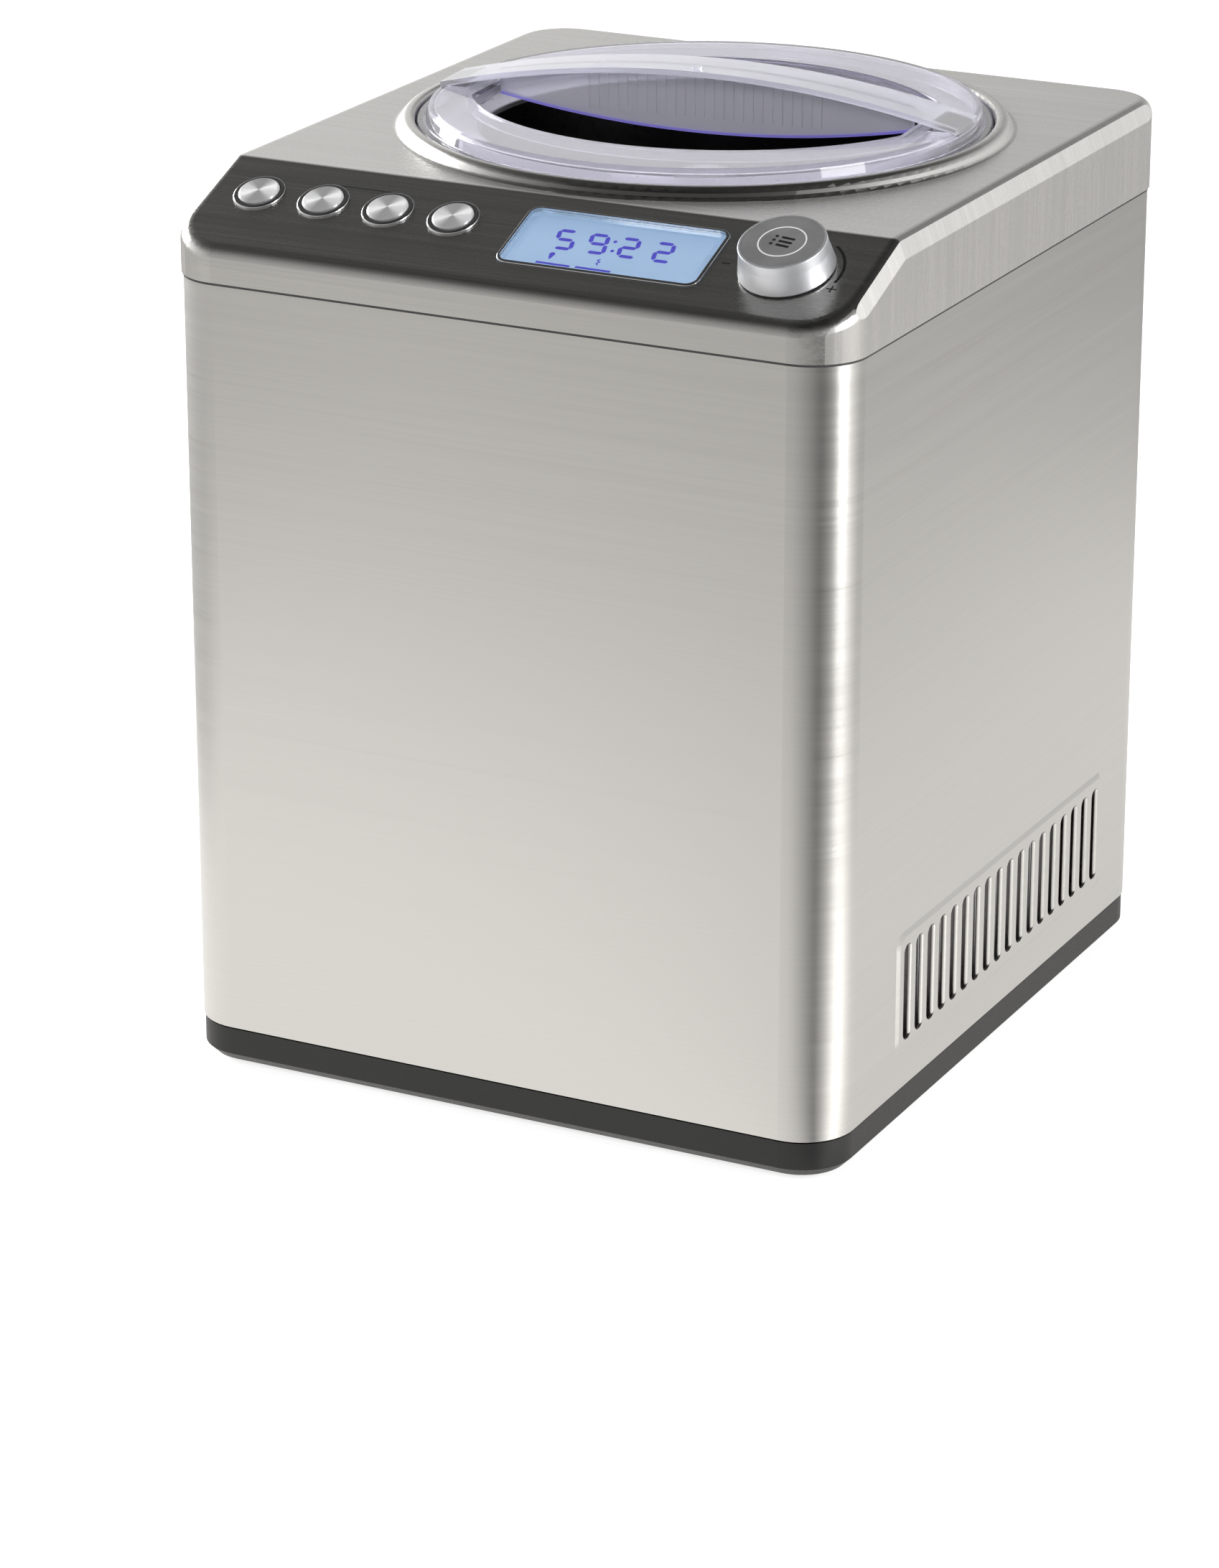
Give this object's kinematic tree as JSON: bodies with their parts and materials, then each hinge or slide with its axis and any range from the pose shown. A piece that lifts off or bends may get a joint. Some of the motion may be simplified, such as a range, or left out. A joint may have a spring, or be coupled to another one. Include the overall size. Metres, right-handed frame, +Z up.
{
  "type": "ice cream maker",
  "caption": "Upright countertop ice cream maker with a brushed steel casing, sloped control panel with buttons, display and knob, side vents and a clear lid over a cooled bowl.",
  "frame": {"origin": "on the table under the middle of the casing", "axes": "+X to the right seen from the front, +Y to the back, +Z up; the control panel faces -Y"},
  "size_m": [0.28, 0.308, 0.3777],
  "materials": {
    "steel": "horizontally brushed stainless",
    "base_plastic": "charcoal moulded",
    "black_plastic": "fine matt grain",
    "rubber": "soft matt",
    "fastener": "zinc plated",
    "zinc_sheet": "zinc-coated sheet",
    "inlet": "moulded black",
    "chrome_trim": "polished",
    "button_metal": "spun face",
    "knob_satin": "satin",
    "knob_dark": "dark satin",
    "display_glass": "clear flat",
    "display": "backlit pale blue",
    "circuit": "green laminate",
    "electrics": "moulded components",
    "clear_plastic": "clear moulded",
    "silicone": "translucent",
    "bowl_metal": "dark anodised",
    "paddle": "white moulded",
    "drum_metal": "plain drawn",
    "copper": "drawn tube",
    "foam": "foamed in place",
    "white_plastic": "moulded",
    "nylon": "moulded gear",
    "die_cast": "die cast",
    "shaft_steel": "ground",
    "bronze": "sintered",
    "motor_paint": "grey paint",
    "compressor_paint": "black enamel",
    "fan_plastic": "moulded"
  },
  "bodies": {
    "housing": {"base_tray": "base_plastic", "rubber_feet": "rubber", "base_screws": "fastener", "base_plate": "zinc_sheet", "body_shell": "steel", "rear_panel": "steel", "rear_screws": "fastener", "mains_inlet": "inlet", "top_frame": "black_plastic", "top_cover": "steel", "button_rings": "chrome_trim", "button_switches": "electrics", "control_board": "circuit", "display_bezel": "chrome_trim", "display_window": "display_glass", "display_module": "display", "rotary_encoder": "electrics", "chamber_seal": "rubber", "cooling_drum": "drum_metal", "evaporator_coil": "copper", "foam_insulation": "foam", "drum_housing": "white_plastic", "housing_screws": "fastener", "shaft_bushes": "bronze", "shaft_seal": "rubber", "gearbox_case": "die_cast", "gearbox_cover": "die_cast", "gearbox_screws": "fastener", "idler_pin": "shaft_steel", "drive_motor": "motor_paint", "compressor": "compressor_paint", "compressor_bolts": "fastener", "compressor_grommets": "rubber", "condenser_fins": "drum_metal", "condenser_tube": "copper", "condenser_frame": "zinc_sheet", "fan_shroud": "black_plastic", "fan_motor": "motor_paint", "filter_drier": "copper", "refrigerant_pipes": "copper", "board_bracket": "zinc_sheet", "power_board": "circuit", "power_board_parts": "electrics"},
    "power_button": {"power_button": "button_metal"},
    "hardness_button": {"hardness_button": "button_metal"},
    "speed_button": {"speed_button": "button_metal"},
    "start_button": {"start_button": "button_metal"},
    "encoder_shaft": {"encoder_shaft": "knob_satin"},
    "knob": {"control_knob": "knob_satin", "knob_cap": "knob_dark"},
    "output_shaft": {"drive_shaft": "shaft_steel", "output_gear": "nylon"},
    "idler": {"idler_gear": "nylon"},
    "motor_rotor": {"motor_pinion": "shaft_steel"},
    "fan": {"fan_rotor": "fan_plastic"},
    "bowl": {"ice_bowl": "bowl_metal"},
    "paddle": {"mixing_paddle": "paddle"},
    "lid_ring": {"lid_seal": "silicone"},
    "lid": {"lid": "clear_plastic", "lid_handle": "clear_plastic"}
  },
  "joints": [
    {"name": "power_button_press", "type": "slide", "parent": "housing", "child": "power_button", "axis": [0, 0.3746, -0.9272], "range_m": [0, 0.001], "stiffness_N_per_m": 1500, "springref_m": -0.0005},
    {"name": "hardness_button_press", "type": "slide", "parent": "housing", "child": "hardness_button", "axis": [0, 0.3746, -0.9272], "range_m": [0, 0.001], "stiffness_N_per_m": 1500, "springref_m": -0.0005},
    {"name": "speed_button_press", "type": "slide", "parent": "housing", "child": "speed_button", "axis": [0, 0.3746, -0.9272], "range_m": [0, 0.001], "stiffness_N_per_m": 1500, "springref_m": -0.0005},
    {"name": "start_button_press", "type": "slide", "parent": "housing", "child": "start_button", "axis": [0, 0.3746, -0.9272], "range_m": [0, 0.001], "stiffness_N_per_m": 1500, "springref_m": -0.0005},
    {"name": "knob_push", "type": "slide", "parent": "housing", "child": "encoder_shaft", "axis": [0, 0.3746, -0.9272], "range_m": [0, 0.0005], "stiffness_N_per_m": 4000, "springref_m": -0.0004},
    {"name": "knob_turn", "type": "hinge", "parent": "encoder_shaft", "child": "knob", "pos_m": [0.1045, -0.12464, 0.34345], "axis": [0, -0.3746, 0.9272], "continuous": true},
    {"name": "shaft_spin", "type": "hinge", "parent": "housing", "child": "output_shaft", "pos_m": [0, 0.022, 0.25], "axis": [0, 0, 1], "continuous": true},
    {"name": "idler_spin", "type": "hinge", "parent": "housing", "child": "idler", "pos_m": [0, -0.018, 0.17], "axis": [0, 0, 1], "continuous": true},
    {"name": "motor_spin", "type": "hinge", "parent": "housing", "child": "motor_rotor", "pos_m": [0, -0.05, 0.16], "axis": [0, 0, 1], "continuous": true},
    {"name": "fan_spin", "type": "hinge", "parent": "housing", "child": "fan", "pos_m": [0.083, 0.003, 0.0805], "axis": [1, 0, 0], "continuous": true},
    {"name": "bowl_lift", "type": "slide", "parent": "housing", "child": "bowl", "axis": [0, 0, 1], "range_m": [0, 0.15]},
    {"name": "paddle_spin", "type": "hinge", "parent": "bowl", "child": "paddle", "pos_m": [0, 0.022, 0.28], "axis": [0, 0, 1], "continuous": true},
    {"name": "lid_lift", "type": "slide", "parent": "bowl", "child": "lid_ring", "axis": [0, 0, 1], "range_m": [0, 0.06]},
    {"name": "lid_twist", "type": "hinge", "parent": "lid_ring", "child": "lid", "pos_m": [0, 0.022, 0.356], "axis": [0, 0, 1], "range_deg": [0, 20]}
  ],
  "couplings": [
    {"joint": "idler_spin", "follows": "shaft_spin", "ratio": -3},
    {"joint": "motor_spin", "follows": "shaft_spin", "ratio": 9},
    {"joint": "paddle_spin", "follows": "shaft_spin", "ratio": 1}
  ]
}
